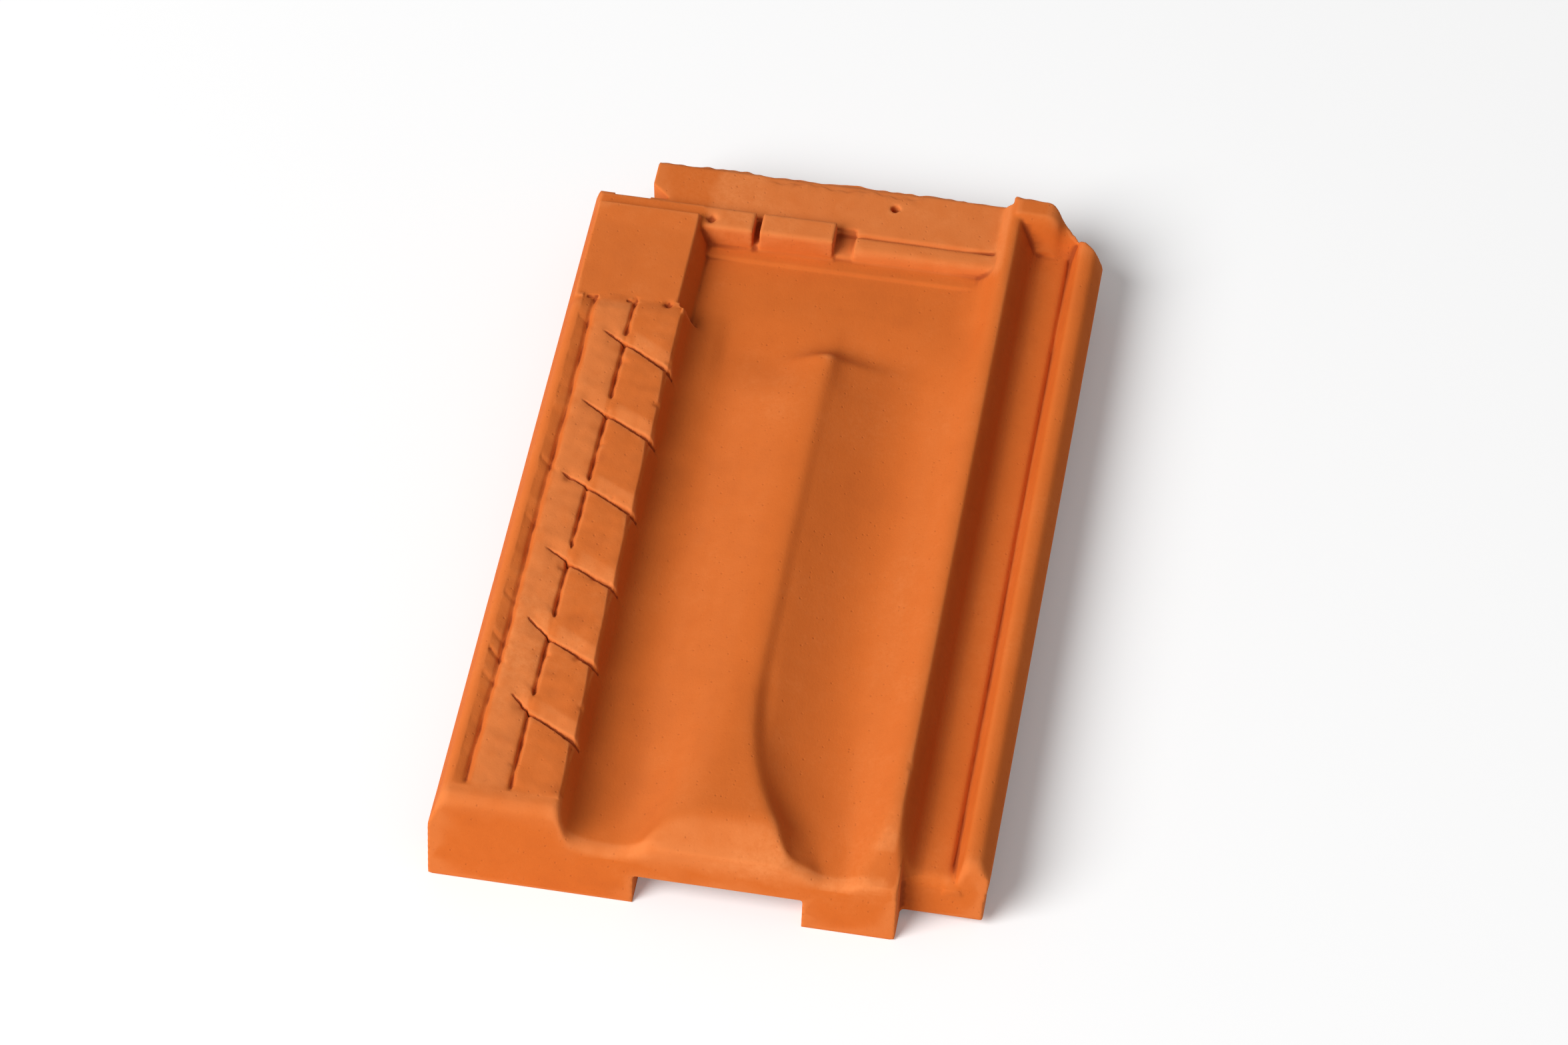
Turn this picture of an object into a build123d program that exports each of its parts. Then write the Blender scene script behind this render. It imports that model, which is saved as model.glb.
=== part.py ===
from build123d import *
import os
from math import cos, radians, sin, tan

# Interlocking clay roof tile, pressed and fired as one piece. Lengths are millimetres.
# X runs across the tile, Y from the nose to the head, Z up from the floor it lies on.

# Whole tile
tile_length = 415.0
tile_width = 250.0
side_lap = 36.0
pan_wall = 11.5
apron_height = 29.5
cut_overrun = 20.0

# Cover band along the left edge, which laps over the neighbouring tile
band_width = 58.5
band_rise = 16.5
band_left_batter = 6.0
band_wall_batter = 6.0
band_plate = 8.5
band_lip_width = 10.0
band_lip_depth = 8.5
roll_wall = 18.0
roll_wall_batter = 7.0

# Relief of the band: lengthwise grooves and slanted shingle steps
bead_width = 16.0
strip_width = 19.5
groove_width = 3.4
groove_depth = 2.2
groove_nose_gap = 9.0
step_pitch = 45.0
step_first_from_pad = 38.0
step_depth = 2.2
step_fade = 17.0
step_slant = 27.0

# Plain pad at the band's head end
pad_length = 103.5
pad_sink = 2.0
pad_inset = 4.0
pad_tail_drop = 2.5
pad_tail_from_head = 42.0

# Gutters and the central ridge
gutter_sink = 3.0
left_floor_width = 19.5
left_foot_lift = 4.5
ridge_edge_x = 7.0
ridge_top_width = 10.0
ridge_rise = 9.5
ridge_crown = 1.0
ridge_side_run = 5.5
ridge_side_lift = 7.0
right_floor_width = 32.5
right_under_share = 0.55
hollow_inset = 8.0
hollow_nose_share = 0.15
ridge_start_from_head = 118.0
ridge_end_length = 16.0
gutter_fade_length = 38.0

# Plateau that the ridge widens into at the nose
sweep_length = 108.0
nose_left_channel = 41.0
nose_right_channel = 47.0
plateau_lift = 4.0
plateau_side_run = 14.5
plateau_flank_run = 16.0
plateau_round_share = 1.8
nose_floor_share = 0.7
right_power_share = 2.2
left_power_share = 1.5

# Right rim and the side lock that the neighbour's band covers
lock_width = 43.0
rim_top_width = 4.5
rim_rise = 11.0
rim_slope_run = 12.5
rim_slope_lift = 6.0
nose_slope_share = 0.5
rim_end_run = 10.0
lock_wall_batter = 9.0
lock_sink = 4.5
lock_floor_width = 15.5
lock_groove_width = 4.0
lock_groove_depth = 3.0
lock_rib_width = 7.0
lock_rib_rise = 10.0
lock_rib_batter = 2.5
lock_outer_batter = 4.0
lock_wall = 11.5
lock_set_back = 13.0
lock_foot_height = 4.0

# Nose
nose_lean = 10.0
nose_round = 5.0
nose_lip = 14.0
nose_cover = 1.5
saddle_left_x = -32.0
saddle_right_x = 44.0
saddle_clearance = 1.0
nose_end_batter = 4.0

# Head: ledge, stop rib in two blocks and a strip, back flange, corner cuts and nail hole
ledge_from_head = 57.0
ledge_length = 10.0
ledge_rise = 1.2
ledge_slope = 1.5
stop_rib_from_head = 49.5
stop_rib_length = 16.0
stop_rib_slope = 2.5
strip_rise = 7.0
strip_slope = 3.5
strip_length = 13.0
left_block_width = 22.5
left_notch_width = 3.5
middle_block_width = 36.0
middle_notch_width = 10.0
notch_floor_rise = 3.0
head_groove_length = 2.0
head_groove_rise = 4.5
flange_rise = 6.0
flange_bevel_run = 5.0
flange_bevel_drop = 3.0
head_under_run = 10.0
head_under_rise = 7.0
left_corner_width = 27.0
left_corner_length = 27.5
corner_clearance = 1.5
right_corner_width = 32.0
right_corner_length = 28.0
hump_length = 23.0
hump_slope = 11.0
hump_width = 17.0
hump_rise = 1.5
hump_round = 5.0
hump_side_run = 5.0
hump_outer_drop = 7.0
hump_back_run = 5.0
hump_back_share = 0.15
hump_foot_share = 0.3
block_round = 2.0
strip_round = 3.0
nail_hole_x = 21.0
nail_hole_from_head = 15.0
nail_hole_radius = 2.25

# Batten nibs under the head
nib_width = 38.0
nib_length = 15.0
nib_spread = 104.0
nib_from_head = 30.0
nib_draft = 4.0
nib_round = 3.0

# Rounding of the section's corners, as the length taken off each side
edge_round = 4.0
rim_round = 3.0
valley_round = 24.0
crest_round = 11.0
hollow_round = 6.0
small_round = 1.6
corner_limit_share = 0.45

# Levels and places worked out from the sizes above
left_x = -tile_width / 2
right_x = tile_width / 2
nose_y = -tile_length / 2
head_y = tile_length / 2
nose_top_y = nose_y + nose_lean
band_top = apron_height + band_rise
band_right_x = left_x + band_width
band_foot_x = band_right_x + band_wall_batter
gutter_floor = apron_height - gutter_sink
lip_bottom = band_top - band_plate - band_lip_depth
pad_top = band_top - pad_sink
pad_right_x = band_right_x - pad_inset
tail_top = pad_top - pad_tail_drop
rim_top = apron_height + rim_rise
rim_x = right_x - lock_width
rim_left_x = rim_x - rim_top_width
lock_floor = apron_height - lock_sink
lock_bottom = lock_floor - lock_wall
rib_top = lock_floor + lock_rib_rise
pan_bottom = gutter_floor - pan_wall
ridge_y = head_y - ridge_start_from_head
fade_y = ridge_y + gutter_fade_length
sweep_y = nose_y + sweep_length
pad_y = head_y - pad_length
stop_rib_y = head_y - stop_rib_from_head
flange_y = stop_rib_y + stop_rib_length
flange_top = apron_height + flange_rise
far_y = head_y + cut_overrun
high_z = band_top + cut_overrun

# The band and the side lock run straight; the pan between these two seams changes along its length
band_seam_x = band_right_x - roll_wall / 3
lock_seam_x = rim_x + nose_end_batter


def ease(value):
    """Smooth change from 0 to 1 with a level start and end."""
    held = min(max(value, 0), 1)
    return held * held * (3 - 2 * held)


def band_points(lowered=0):
    """Corners of the cover band's section, each with the length that its rounding takes."""
    top = band_top - lowered
    return [
        (left_x, lip_bottom, small_round),
        (left_x + band_left_batter, top, edge_round),
        (band_right_x, top, 0),
        (band_right_x, pan_bottom, 0),
        (band_right_x - roll_wall + roll_wall_batter, pan_bottom, edge_round),
        (band_right_x - roll_wall, band_top - band_plate, edge_round),
        (left_x + band_lip_width, band_top - band_plate, small_round),
        (left_x + band_lip_width, lip_bottom, small_round),
    ]


def lock_points(lowered=0):
    """Corners of the side lock's section: channel, fine groove and outer rib."""
    wall_foot = rim_x + lock_wall_batter
    groove_x = wall_foot + lock_floor_width
    rib_x = groove_x + lock_groove_width + lock_rib_batter
    upper = [
        (rim_x, rim_top, 0),
        (wall_foot, lock_floor, edge_round),
        (groove_x, lock_floor, small_round),
        (groove_x + lock_groove_width / 2, lock_floor - lock_groove_depth, small_round),
        (rib_x, rib_top, rim_round),
        (rib_x + lock_rib_width, rib_top, rim_round),
    ]
    lower = [
        (right_x, lock_floor + lock_rib_batter, small_round),
        (right_x - lock_outer_batter / 2, lock_bottom, small_round),
        (rim_x, lock_bottom, 0),
    ]
    return [(x, z - lowered, r) for x, z, r in upper] + lower


def pan_upper(gutter=1, ridge=1, sweep=0, lowered=0):
    """Upper corners of the pan, from the top of the band to the wall of the side lock.

    gutter and ridge grow from 0 at the flat apron to 1, and sweep from 0 to 1 at the nose.
    lowered takes the corners down, the plateau's more than the rest, for the round edge of the nose.
    """
    floor = apron_height - gutter_sink * gutter
    crest = apron_height + (ridge_rise + plateau_lift * sweep) * ridge
    right_share = sweep ** right_power_share
    left_share = sweep ** left_power_share
    crest_left = ridge_edge_x - ridge_top_width
    crest_left = crest_left + (band_foot_x + nose_left_channel - crest_left) * left_share
    crest_edge = ridge_edge_x + (rim_x - nose_right_channel - ridge_edge_x) * right_share
    foot_height = floor + left_foot_lift * gutter * (1 - sweep / 2)
    wall_foot = band_right_x + band_wall_batter * (band_top - foot_height) / (band_top - gutter_floor)
    flank_foot = band_foot_x + left_floor_width
    nose_flank_foot = crest_left - plateau_flank_run
    flank_foot = flank_foot + max(nose_flank_foot - flank_foot, 0) * sweep
    side_foot = crest_edge + ridge_side_run + (plateau_side_run - ridge_side_run) * sweep
    slope_growth = gutter * (1 - nose_slope_share * sweep)
    slope_run = rim_end_run + (rim_slope_run - rim_end_run) * slope_growth
    slope_foot = rim_left_x - slope_run
    nose_floor_end = side_foot + (slope_foot - side_foot) * nose_floor_share
    floor_end = side_foot + right_floor_width
    floor_end = floor_end + (nose_floor_end - floor_end) * sweep
    crest = crest - lowered * (plateau_round_share - 1)
    corners = [
        (band_right_x - roll_wall / 2, band_top, 0),
        (band_right_x, band_top, rim_round),
        (wall_foot, foot_height, valley_round),
        (flank_foot, floor, valley_round),
        (crest_left, crest - ridge_crown * ridge, crest_round),
        (crest_edge, crest, rim_round),
        (side_foot, floor + ridge_side_lift * ridge * (1 - sweep), valley_round),
        (floor_end, floor, valley_round),
        (slope_foot, floor + rim_slope_lift * slope_growth, valley_round),
        (rim_left_x, rim_top, edge_round),
        (rim_x, rim_top, small_round),
        (rim_x + lock_wall_batter, lock_floor, 0),
    ]
    return [(x, z - lowered, r) for x, z, r in corners]


def pan_points(gutter=1, ridge=1, sweep=0, lowered=0):
    """Corners of the pan's section, with the hollows under the ridge and the rim."""
    upper = pan_upper(gutter, ridge, sweep)
    flank_foot, crest_left, crest_edge, side_foot, floor_end = [upper[i][0] for i in (3, 4, 5, 6, 7)]
    right_under = side_foot + (floor_end - side_foot) * right_under_share - edge_round
    hollow_top = max(upper[5][1] - pan_wall - ridge_crown, pan_bottom)
    nose_inset = (crest_edge - crest_left) * hollow_nose_share * sweep
    hollow_left = crest_left - hollow_inset * (1 - sweep) + nose_inset
    hollow_right = crest_edge - hollow_inset * (1 - sweep) - nose_inset
    lower = [
        (rim_x + lock_wall_batter, lock_bottom, 0),
        (rim_x - rim_top_width / 2, lock_bottom, edge_round),
        (rim_left_x - lock_wall / 2, rim_top - pan_wall - rim_top_width, edge_round),
        (upper[8][0] - lock_wall / 2, pan_bottom, hollow_round),
        (right_under, pan_bottom, hollow_round),
        (hollow_right, hollow_top, hollow_round),
        (hollow_left, hollow_top, hollow_round),
        (flank_foot + edge_round, pan_bottom, hollow_round),
        (band_right_x - roll_wall / 2, pan_bottom, 0),
    ]
    return pan_upper(gutter, ridge, sweep, lowered) + lower


def outline(points, place):
    """Closed face through the points, with curved corners, each point set in space by place."""
    count = len(points)
    flat = [Vector(x, z) for x, z, r in points]
    corners = []
    for i in range(count):
        back = flat[i - 1] - flat[i]
        ahead = flat[(i + 1) % count] - flat[i]
        arrive = flat[i] + back.normalized() * min(points[i][2], back.length * corner_limit_share)
        leave = flat[i] + ahead.normalized() * min(points[i][2], ahead.length * corner_limit_share)
        corners.append((arrive, flat[i], leave))
    edges = []
    for i in range(count):
        arrive, corner, leave = [place(p.X, p.Y) for p in corners[i]]
        after = corners[(i + 1) % count][0]
        if points[i][2] > 0:
            edges.append(Edge.make_bezier(arrive, corner, leave))
        edges.append(Edge.make_line(leave, place(after.X, after.Y)))
    return Face(Wire(edges))


def upright(y):
    """Place on the upright plane at y."""
    return lambda x, z: (x, y, z)


def leaning(foot_y, top_y):
    """Place on a plane that leans from foot_y on the floor to top_y at the band's top."""
    return lambda x, z: (x, foot_y + (top_y - foot_y) * z / band_top, z)


def nose_plane(setback):
    """Place on a plane parallel to the front face of the nose, setback behind it."""
    return leaning(nose_y + setback, nose_top_y + setback)


def block(x0, x1, y0, y1, z0, z1):
    """Box between the given limits."""
    return Pos((x0 + x1) / 2, (y0 + y1) / 2, (z0 + z1) / 2) * Box(x1 - x0, y1 - y0, z1 - z0)


def bar_across(points, x0, x1):
    """Bar along X between x0 and x1, from a side outline of (y, z, rounding) points."""
    face = outline(points, lambda y, z: (x0, y, z))
    return extrude(face, amount=x1 - x0, dir=(1, 0, 0))


def bar_along(points, y0, y1):
    """Bar along Y between y0 and y1, from a front outline of (x, z) points."""
    corners = [Vector(x, y0, z) for x, z in points]
    face = Face(Wire.make_polygon(corners, close=True))
    return extrude(face, amount=y1 - y0, dir=(0, 1, 0))


def trimmed(pieces, x0, x1):
    """The pieces cut off at the seams x0 and x1."""
    room = block(x0, x1, nose_y - cut_overrun, far_y, -cut_overrun, high_z)
    return [piece & room for piece in pieces]


def front_edge(points_when_lowered, setback):
    """Rounded upper edge at a front plane, for a section that is taken down in steps."""
    faces = []
    steps = 4
    for i in range(steps + 1):
        turn = radians(90 * i / steps)
        points = points_when_lowered(nose_round * (1 - cos(turn)))
        faces.append(outline(points, nose_plane(setback + nose_round * (1 - sin(turn)))))
    return loft(faces, ruled=False)


def straight_run(points_when_lowered, setback):
    """Straight stretches of a section, behind and before the pad's start, with a rounded front edge."""
    points = points_when_lowered(0)
    places = [upright(head_y), upright(pad_y), nose_plane(setback + nose_round)]
    faces = [outline(points, place) for place in places]
    pieces = [loft(faces[:2], ruled=True), loft(faces[1:], ruled=True)]
    return pieces + [front_edge(points_when_lowered, setback)]


def pan():
    """Flat apron, gutters sinking beside a rising ridge, straight stretch, and the plateau at the nose."""
    apron = pan_points(gutter=0, ridge=0)
    middle = pan_points()
    pieces = [
        loft([outline(apron, upright(head_y)), outline(apron, upright(fade_y))], ruled=True),
        loft([outline(middle, upright(ridge_y)), outline(middle, upright(sweep_y))], ruled=True),
    ]
    steps = 6
    fading = []
    sweeping = []
    for i in range(steps + 1):
        run = gutter_fade_length * i / steps
        ridge = ease((run - gutter_fade_length + ridge_end_length) / ridge_end_length)
        points = pan_points(gutter=ease(run / gutter_fade_length), ridge=ridge)
        fading.append(outline(points, upright(fade_y - run)))
        share = i / steps
        foot_y = sweep_y + (nose_y + nose_round - sweep_y) * share
        top_y = sweep_y + (nose_top_y + nose_round - sweep_y) * share
        sweeping.append(outline(pan_points(sweep=share), leaning(foot_y, top_y)))
    pieces.append(loft(fading, ruled=False))
    pieces.append(loft(sweeping, ruled=False))
    pieces.append(front_edge(lambda lowered: pan_points(sweep=1, lowered=lowered), 0))
    return pieces


def nose_front():
    """Lip that hangs down at the nose as far as the floor."""
    waves = [(x, z - nose_cover, small_round) for x, z, r in pan_upper(sweep=1, lowered=nose_round)[1:-1]]
    points = [
        (left_x, 0, small_round),
        (left_x, lip_bottom, small_round),
        (left_x + band_left_batter, band_top - nose_round - nose_cover, small_round),
        *waves,
        (lock_seam_x, lock_floor, small_round),
        (lock_seam_x, 0, small_round),
    ]
    return loft([outline(points, nose_plane(0)), outline(points, nose_plane(nose_lip))], ruled=True)


def lock_lip():
    """Short lip under the front of the side lock."""
    lean_share = nose_lean / band_top
    lip_top = lock_floor - lock_wall / 2
    low_y = nose_y + lock_set_back + lock_foot_height * lean_share
    top_y = nose_y + lock_set_back + lip_top * lean_share
    side = [
        (low_y, lock_foot_height, small_round),
        (top_y, lip_top, 0),
        (top_y + nose_lip, lip_top, 0),
        (low_y + nose_lip, lock_foot_height, small_round),
    ]
    return bar_across(side, rim_x, right_x - lock_outer_batter / 2)


def band_relief():
    """Cuts of the band's two lengthwise grooves and its slanted shingle steps."""
    cuts = []
    mouth = groove_width / 2 / groove_depth * (groove_depth + cut_overrun)
    groove_end = nose_top_y + groove_nose_gap
    first_groove_x = left_x + bead_width
    for x in (first_groove_x, first_groove_x + strip_width):
        points = [(x - mouth, high_z), (x, band_top - groove_depth), (x + mouth, high_z)]
        cuts.append(bar_along(points, groove_end, pad_y))
    slant = radians(step_slant)
    along = Vector(-cos(slant), sin(slant), 0)
    across = Vector(-sin(slant), -cos(slant), 0)
    run = (band_right_x - first_groove_x + 2 * cut_overrun) / cos(slant)
    strips = block(first_groove_x, band_right_x + cut_overrun, nose_y, head_y, 0, high_z)
    side = [(0, cut_overrun), (0, -step_depth), (step_fade, 0), (step_fade, cut_overrun)]
    step_count = int((pad_y - step_first_from_pad - groove_end) / step_pitch) + 1
    for i in range(step_count):
        end_y = pad_y - step_first_from_pad - i * step_pitch
        start = Vector(band_right_x + cut_overrun, end_y - cut_overrun * tan(slant), 0)
        corners = [start + across * n + Vector(0, 0, band_top + z) for n, z in side]
        face = Face(Wire.make_polygon(corners, close=True))
        cuts.append(extrude(face, amount=run, dir=along) & strips)
    return cuts


def band_pad():
    """Cuts that leave the plain lower pad at the band's head end, and the lower tail behind it."""
    tail_y = head_y - pad_tail_from_head
    outer_x = left_x - cut_overrun
    top_cut = block(outer_x, band_foot_x, pad_y, far_y, pad_top, high_z)
    side = [
        (pad_right_x, high_z),
        (pad_right_x, pad_top),
        (pad_right_x + band_wall_batter, apron_height),
        (band_foot_x + cut_overrun, apron_height),
        (band_foot_x + cut_overrun, high_z),
    ]
    side_cut = bar_along(side, pad_y, far_y)
    tail_cut = block(outer_x, band_foot_x, tail_y, far_y, tail_top, high_z)
    end_cut = block(outer_x, band_foot_x, flange_y, far_y, flange_top, high_z)
    return [top_cut, side_cut, tail_cut, end_cut]


def rib_bar(start_y, slope, end_y, top, x0, x1, top_round=0):
    """Bar across the head with a sloping front, sunk into the pan."""
    root = pan_bottom + pan_wall / 2
    side = [
        (start_y, root, 0),
        (start_y, apron_height, 0),
        (start_y + slope, top, top_round),
        (end_y, top, top_round),
        (end_y, root, 0),
    ]
    return bar_across(side, x0, x1)


def head_ribs():
    """Ledge, stop rib in two blocks and a strip, and the back flange."""
    ledge_y = head_y - ledge_from_head
    ledge_top = apron_height + ledge_rise
    strip_top = apron_height + strip_rise
    left_notch_x = band_right_x + left_block_width
    middle_x = left_notch_x + left_notch_width
    notch_x = middle_x + middle_block_width
    strip_x = notch_x + middle_notch_width
    strip_end_y = stop_rib_y + strip_length
    notch_top = apron_height + notch_floor_rise
    groove_y = flange_y + head_groove_length
    groove_top = apron_height + head_groove_rise
    flange_x = left_x + left_corner_width
    return [
        rib_bar(ledge_y, ledge_slope, ledge_y + ledge_length, ledge_top, band_right_x, rim_left_x),
        rib_bar(stop_rib_y, stop_rib_slope, flange_y, tail_top, pad_right_x, left_notch_x, block_round),
        rib_bar(stop_rib_y, stop_rib_slope, flange_y, tail_top, middle_x, notch_x, block_round),
        rib_bar(stop_rib_y, stop_rib_slope, groove_y, notch_top, left_notch_x, strip_x),
        rib_bar(stop_rib_y, strip_slope, strip_end_y, strip_top, strip_x, rim_left_x, strip_round),
        rib_bar(strip_end_y, 0, flange_y, groove_top, strip_x, rim_left_x),
        rib_bar(strip_end_y + head_groove_length, 0, head_y, flange_top, strip_x, rim_left_x),
        rib_bar(flange_y, 0, groove_y, groove_top, flange_x, strip_x),
        rib_bar(groove_y, 0, head_y, flange_top, flange_x, rim_x),
    ]


def hump_section(growth, y):
    """Outline of the hump at y, growing from its foot to its full height."""
    root = pan_bottom + pan_wall / 2
    hump_top = rim_top + hump_rise
    outer_top = rim_top - hump_outer_drop
    outer_x = right_x - lock_outer_batter
    points = [
        (rim_left_x, root, 0),
        (rim_left_x, hump_top, hump_round),
        (rim_x + hump_width, hump_top, hump_round),
        (rim_x + hump_width + hump_side_run, outer_top, hump_round),
        (outer_x, outer_top, small_round),
        (outer_x, root, 0),
    ]
    grown = [(x, root + (z - root) * growth, r) for x, z, r in points]
    return outline(grown, upright(y))


def hump():
    """Rounded hump that ends the rim and closes the side lock's channel at the head."""
    start_y = head_y - hump_length
    back_y = head_y - hump_back_run
    steps = 4
    front = []
    back = []
    for i in range(steps + 1):
        growth = hump_foot_share + (1 - hump_foot_share) * ease(i / steps)
        front.append(hump_section(growth, start_y + hump_slope * i / steps))
        turn = radians(90 * i / steps)
        back.append(hump_section(1 - hump_back_share * (1 - cos(turn)), back_y + hump_back_run * sin(turn)))
    middle = loft([front[-1], back[0]], ruled=True)
    return [loft(front, ruled=False), middle, loft(back, ruled=False)]


def head_corners():
    """Cuts at the head: bevelled back edge above and below, and the two corners that fit each other."""
    bevel_share = flange_bevel_drop / flange_bevel_run
    bevel = [
        (head_y - flange_bevel_run, flange_top, 0),
        (far_y, flange_top - (flange_bevel_run + cut_overrun) * bevel_share, 0),
        (far_y, high_z, 0),
        (head_y - flange_bevel_run, high_z, 0),
    ]
    under_share = head_under_rise / head_under_run
    under = [
        (head_y - head_under_run - cut_overrun, pan_bottom - cut_overrun * under_share, 0),
        (far_y, pan_bottom + (head_under_run + cut_overrun) * under_share, 0),
        (far_y, -cut_overrun, 0),
        (head_y - head_under_run - cut_overrun, -cut_overrun, 0),
    ]
    low_z = -cut_overrun
    corner_x = right_x - right_corner_width
    slope_share = right_corner_length / right_corner_width
    right_corner = [
        (corner_x - cut_overrun, head_y + cut_overrun * slope_share),
        (right_x + cut_overrun, head_y - right_corner_length - cut_overrun * slope_share),
        (right_x + cut_overrun, far_y + cut_overrun),
        (corner_x - cut_overrun, far_y + cut_overrun),
    ]
    flange_x = left_x + left_corner_width
    tail_end_y = head_y - left_corner_length
    lap_x = left_x + side_lap
    meet_y = head_y - right_corner_length + (lap_x - flange_x) * slope_share + corner_clearance
    left_corner = [
        (left_x - cut_overrun, tail_end_y),
        (flange_x + (meet_y - tail_end_y) / slope_share, tail_end_y),
        (flange_x, meet_y),
        (flange_x, far_y),
        (left_x - cut_overrun, far_y),
    ]
    corner_cuts = []
    for corner in (left_corner, right_corner):
        face = Face(Wire.make_polygon([Vector(x, y, low_z) for x, y in corner], close=True))
        corner_cuts.append(extrude(face, amount=high_z - low_z, dir=(0, 0, 1)))
    return [
        bar_across(bevel, left_x - cut_overrun, rim_left_x),
        bar_across(under, left_x - cut_overrun, right_x + cut_overrun),
        *corner_cuts,
    ]


def batten_nibs():
    """Two nibs that hook over the roof batten: upright bearing face, drafted back, rounded corners."""
    front_y = head_y - nib_from_head
    root = pan_bottom + pan_wall / 2
    side = [
        (front_y, 0, 0),
        (front_y, root, 0),
        (front_y + nib_length + nib_draft, root, 0),
        (front_y + nib_length, 0, 0),
    ]
    nibs = []
    for x in (-nib_spread / 2, nib_spread / 2):
        nib = bar_across(side, x - nib_width / 2, x + nib_width / 2)
        nibs.append(fillet(nib.edges().filter_by(Axis.Z), nib_round))
    return nibs


def roof_tile():
    """The whole tile as one solid."""
    band = trimmed(straight_run(band_points, 0), left_x - cut_overrun, band_seam_x)
    middle = trimmed(pan(), band_seam_x, lock_seam_x)
    lock = trimmed(straight_run(lock_points, lock_set_back), lock_seam_x, right_x + cut_overrun)
    tile = band[0].fuse(*band[1:], *middle, *lock, nose_front())
    tile = tile.cut(*band_relief(), *band_pad())
    tile = tile.fuse(*head_ribs(), *hump())
    tile = tile.cut(*head_corners())
    tile = tile.fuse(lock_lip(), *batten_nibs())
    saddle_top = band_rise - pad_sink + saddle_clearance
    front_y = nose_y - cut_overrun
    back_y = nose_y + nose_lip + nose_lean
    saddle = block(saddle_left_x, saddle_right_x, front_y, back_y, -cut_overrun, saddle_top)
    hole = Pos(nail_hole_x, head_y - nail_hole_from_head, 0) * Cylinder(nail_hole_radius, tile_length)
    return tile.cut(saddle, hole)


os.makedirs("parts", exist_ok=True)
tile = roof_tile()
export_step(tile, "parts/roof_tile.step")
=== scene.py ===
"""Looks of a pressed clay roof tile, built over its solid."""

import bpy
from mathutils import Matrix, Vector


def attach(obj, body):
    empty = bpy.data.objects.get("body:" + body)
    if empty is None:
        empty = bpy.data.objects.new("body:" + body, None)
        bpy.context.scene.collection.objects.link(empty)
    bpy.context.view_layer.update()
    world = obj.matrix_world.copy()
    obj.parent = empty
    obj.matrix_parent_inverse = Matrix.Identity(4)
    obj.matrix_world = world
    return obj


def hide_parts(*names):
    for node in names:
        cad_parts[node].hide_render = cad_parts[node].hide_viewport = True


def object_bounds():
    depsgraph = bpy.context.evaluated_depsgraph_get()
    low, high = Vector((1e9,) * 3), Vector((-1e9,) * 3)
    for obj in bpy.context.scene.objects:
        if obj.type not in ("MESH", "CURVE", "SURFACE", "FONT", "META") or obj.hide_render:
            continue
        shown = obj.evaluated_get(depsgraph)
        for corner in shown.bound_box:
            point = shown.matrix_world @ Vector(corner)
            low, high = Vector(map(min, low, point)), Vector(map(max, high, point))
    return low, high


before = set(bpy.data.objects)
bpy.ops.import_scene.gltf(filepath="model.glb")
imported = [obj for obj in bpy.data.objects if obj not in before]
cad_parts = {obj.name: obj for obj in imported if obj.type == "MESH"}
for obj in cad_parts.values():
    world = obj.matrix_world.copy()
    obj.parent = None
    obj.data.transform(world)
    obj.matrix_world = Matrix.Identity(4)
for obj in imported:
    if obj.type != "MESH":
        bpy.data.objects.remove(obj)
cad_box = [list(corner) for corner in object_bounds()]

import math

import bpy
import numpy as np
from mathutils import Vector

bl_info = {
    "name": "Clay roof tile",
    "version": (1, 0, 0),
    "blender": (4, 5, 0),
    "location": "View3D > Sidebar > Roof Tile",
    "description": "Presses, carves and fires one interlocking clay roof tile",
    "category": "Add Mesh",
}

MM = 0.001
NODE = "roof_tile"
PIECE = "pressed_tile"
# From the tile towards the lamp
LAMP_WAY = (-0.57, -0.50, 0.65)
# Most of each kind of mark that is laid over the clay's colour; the rubbed arrises are partly painted
# highlight, the hollows are painted shade and the smudges include a painted shadow along the lock's wall
SHARES = {"mottle pale": 0.22, "mottle deep": 0.14, "dust": 0.12, "smudge_and_shade": 0.30,
          "rubbed": 0.36, "hollow": 0.85, "specks": 0.12, "pits": 0.14}


class TileSizes(bpy.types.PropertyGroup):
    """Sizes of the pressed tile's relief."""

    grain: bpy.props.FloatProperty(
        name="Grain", description="Edge length of the pressed mesh before it is thinned",
        default=0.0008, min=0.0004, unit="LENGTH")
    arris_passes: bpy.props.IntProperty(
        name="Arris passes", description="How often every edge is rubbed down", default=3, min=0)
    pan_passes: bpy.props.IntProperty(
        name="Pan passes", description="How often the gutters and ridge are rubbed down", default=60, min=0)
    groove_depth: bpy.props.FloatProperty(
        name="Groove depth", description="Depth of the band's lengthwise grooves",
        default=0.0022, unit="LENGTH")
    crack_depth: bpy.props.FloatProperty(
        name="Crack depth", description="Depth of the slanted cracks between the shingle plates",
        default=0.0025, unit="LENGTH")
    crack_width: bpy.props.FloatProperty(
        name="Crack width", description="Half width of a slanted crack", default=0.0008, unit="LENGTH")
    plate_dip: bpy.props.FloatProperty(
        name="Plate dip", description="How far a plate starts under the lip of the plate above",
        default=0.0011, unit="LENGTH")
    plate_lip: bpy.props.FloatProperty(
        name="Plate lip", description="How far a plate's lower end rolls down", default=0.0013, unit="LENGTH")
    warp: bpy.props.FloatProperty(
        name="Warp", description="Broad unevenness from drying and firing", default=0.0009, unit="LENGTH")
    bevel: bpy.props.FloatProperty(
        name="Plateau bevel", description="Where the plateau's worn front bevel starts, behind the nose",
        default=0.0245, unit="LENGTH")
    nicks: bpy.props.IntProperty(
        name="Nicks", description="How many small nicks the arrises have", default=26, min=0)
    triangles: bpy.props.IntProperty(
        name="Triangles", description="Most triangles of the finished tile", default=188000, min=1000)


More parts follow.
